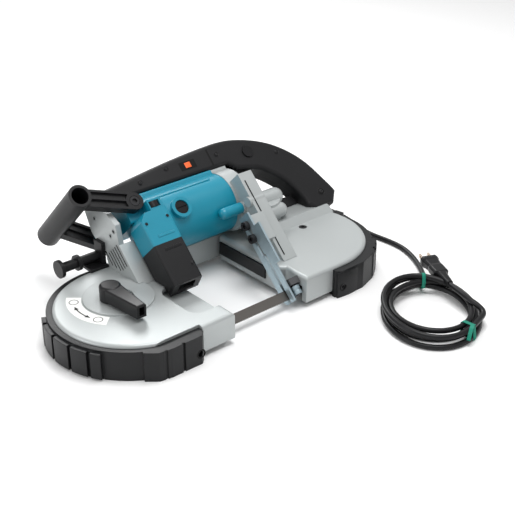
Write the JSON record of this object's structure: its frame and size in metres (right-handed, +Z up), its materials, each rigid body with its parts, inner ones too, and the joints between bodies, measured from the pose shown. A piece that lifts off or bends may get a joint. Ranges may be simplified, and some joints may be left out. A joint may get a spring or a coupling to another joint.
{
  "type": "horizontal band saw",
  "caption": "Portable deep-cut band saw lying on its wheel side: round silver wheel housings in rubber bumpers, leaning motor, D-handle, front handle, lamp, blade, work stop and coiled cord.",
  "frame": {"origin": "centre of the saw's footprint, at floor level, with the cord left out", "axes": "+X along the blade from the idler wheel to the drive wheel, +Y from the throat's open side to the motor, +Z up from the floor the saw lies on"},
  "size_m": [0.5652, 0.5207, 0.1707],
  "materials": {
    "silver_castings": "painted satin",
    "black_plastic": "textured",
    "teal_plastic": "satin",
    "black_rubber": "matte",
    "orange_plastic": "satin",
    "blade_steel": "brushed",
    "bright_steel": "zinc plated",
    "steel_gears": "machined",
    "wheel_alloy": "cast",
    "copper_winding": "lacquered",
    "dark_iron": "laminated",
    "clear_plastic": "clear",
    "carbon": "matte",
    "black_screws": "blackened",
    "cord_rubber": "satin",
    "green_tie": "soft",
    "fan_plastic": "moulded"
  },
  "bodies": {
    "frame": {"idler_housing": "silver_castings", "drive_housing": "silver_castings", "bridge": "silver_castings", "vent_gusset": "silver_castings", "guide_arm": "silver_castings", "gear_case": "silver_castings", "crown_case": "silver_castings", "idler_bumper": "black_rubber", "drive_bumper": "black_rubber", "throat_strip": "black_rubber", "blade": "blade_steel", "blade_guides": "dark_iron", "gear_bearings": "steel_gears", "motor_housing": "teal_plastic", "armature_bearings": "steel_gears", "field_core": "dark_iron", "field_coils": "copper_winding", "brushes": "carbon", "brush_caps": "black_plastic", "lamp_housing": "teal_plastic", "lamp_cover": "black_plastic", "lamp_lens": "clear_plastic", "handle_front": "black_plastic", "handle_rear": "black_plastic", "switch_block": "fan_plastic", "aux_grip": "black_plastic", "aux_arms": "black_plastic", "screws": "black_screws", "cord_hook": "black_plastic", "cord_guard": "black_rubber", "cord": "cord_rubber", "cord_coil": "cord_rubber", "cord_ties": "green_tie", "plug": "black_plastic"},
    "drive_spindle": {"drive_wheel": "wheel_alloy", "drive_tyre": "black_rubber", "drive_shaft": "steel_gears", "final_gear": "steel_gears"},
    "layshaft": {"layshaft": "steel_gears", "crown_gear": "steel_gears"},
    "cross_shaft": {"intermediate_shaft": "steel_gears", "reduction_gear": "steel_gears"},
    "armature": {"armature_shaft": "steel_gears", "armature_core": "dark_iron", "commutator": "copper_winding", "fan": "fan_plastic"},
    "roller_front": {"guide_roller_front": "bright_steel"},
    "roller_back": {"guide_roller_back": "bright_steel"},
    "lever": {"tension_lever": "black_plastic", "tension_shaft": "steel_gears"},
    "slider": {"tension_slider": "steel_gears", "idler_axle": "steel_gears"},
    "idler": {"idler_wheel": "wheel_alloy", "idler_tyre": "black_rubber", "idler_bearings": "steel_gears"},
    "trigger": {"trigger": "black_plastic"},
    "lock_button": {"lock_button": "black_plastic"},
    "dial": {"speed_dial": "orange_plastic"},
    "lamp_rocker": {"lamp_switch": "black_plastic"},
    "work_stop": {"stop_plate": "bright_steel"}
  },
  "joints": [
    {"name": "drive_wheel_spin", "type": "hinge", "parent": "frame", "child": "drive_spindle", "pos_m": [0.147, -0.04715, 0.02], "axis": [0, 0, 1], "continuous": true},
    {"name": "layshaft_spin", "type": "hinge", "parent": "frame", "child": "layshaft", "pos_m": [0.13321, 0.0197, 0.05], "axis": [0, 0, 1], "continuous": true},
    {"name": "cross_shaft_spin", "type": "hinge", "parent": "frame", "child": "cross_shaft", "pos_m": [0.117, 0.0197, 0.08], "axis": [1, 0, 0], "continuous": true},
    {"name": "armature_spin", "type": "hinge", "parent": "frame", "child": "armature", "pos_m": [-0.003, 0.04285, 0.088], "axis": [1, 0, 0], "continuous": true},
    {"name": "guide_roller_front_spin", "type": "hinge", "parent": "frame", "child": "roller_front", "pos_m": [0.0575, -0.1368, 0.02499], "axis": [0, 0.7071, 0.7071], "continuous": true},
    {"name": "guide_roller_back_spin", "type": "hinge", "parent": "frame", "child": "roller_back", "pos_m": [0.0575, -0.12683, 0.01502], "axis": [0, 0.7071, 0.7071], "continuous": true},
    {"name": "tension_lever_turn", "type": "hinge", "parent": "frame", "child": "lever", "pos_m": [-0.165, -0.02515, 0.05], "axis": [0, 0, -1], "range_deg": [0, 170]},
    {"name": "tension_slide", "type": "slide", "parent": "frame", "child": "slider", "axis": [1, 0, 0], "range_m": [0, 0.005]},
    {"name": "idler_wheel_spin", "type": "hinge", "parent": "slider", "child": "idler", "pos_m": [-0.157, -0.04715, 0.02], "axis": [0, 0, 1], "continuous": true},
    {"name": "trigger_pull", "type": "slide", "parent": "frame", "child": "trigger", "axis": [0, 0.7071, 0.7071], "range_m": [0, 0.006], "stiffness_N_per_m": 600, "springref_m": -0.003},
    {"name": "lock_button_press", "type": "slide", "parent": "frame", "child": "lock_button", "axis": [0, 0.7071, -0.7071], "range_m": [0, 0.003], "stiffness_N_per_m": 500, "springref_m": -0.002},
    {"name": "speed_dial_turn", "type": "hinge", "parent": "frame", "child": "dial", "pos_m": [0.041, 0.08078, 0.13795], "axis": [0, 0.7071, 0.7071], "range_deg": [-135, 135]},
    {"name": "lamp_switch_rock", "type": "hinge", "parent": "frame", "child": "lamp_rocker", "pos_m": [-0.0535, 0.03258, 0.12427], "axis": [0, 0.7071, 0.7071], "range_deg": [-8, 8]},
    {"name": "work_stop_slide", "type": "slide", "parent": "frame", "child": "work_stop", "axis": [0, 0.7071, 0.7071], "range_m": [0, 0.025]}
  ],
  "couplings": [
    {"joint": "layshaft_spin", "follows": "drive_wheel_spin", "ratio": -5},
    {"joint": "cross_shaft_spin", "follows": "drive_wheel_spin", "ratio": 15},
    {"joint": "armature_spin", "follows": "drive_wheel_spin", "ratio": -90},
    {"joint": "guide_roller_front_spin", "follows": "drive_wheel_spin", "ratio": -13.026},
    {"joint": "guide_roller_back_spin", "follows": "drive_wheel_spin", "ratio": 13.026},
    {"joint": "idler_wheel_spin", "follows": "drive_wheel_spin", "ratio": 1},
    {"joint": "tension_lever_turn", "follows": "tension_slide", "rad_per_m": 593.41}
  ]
}
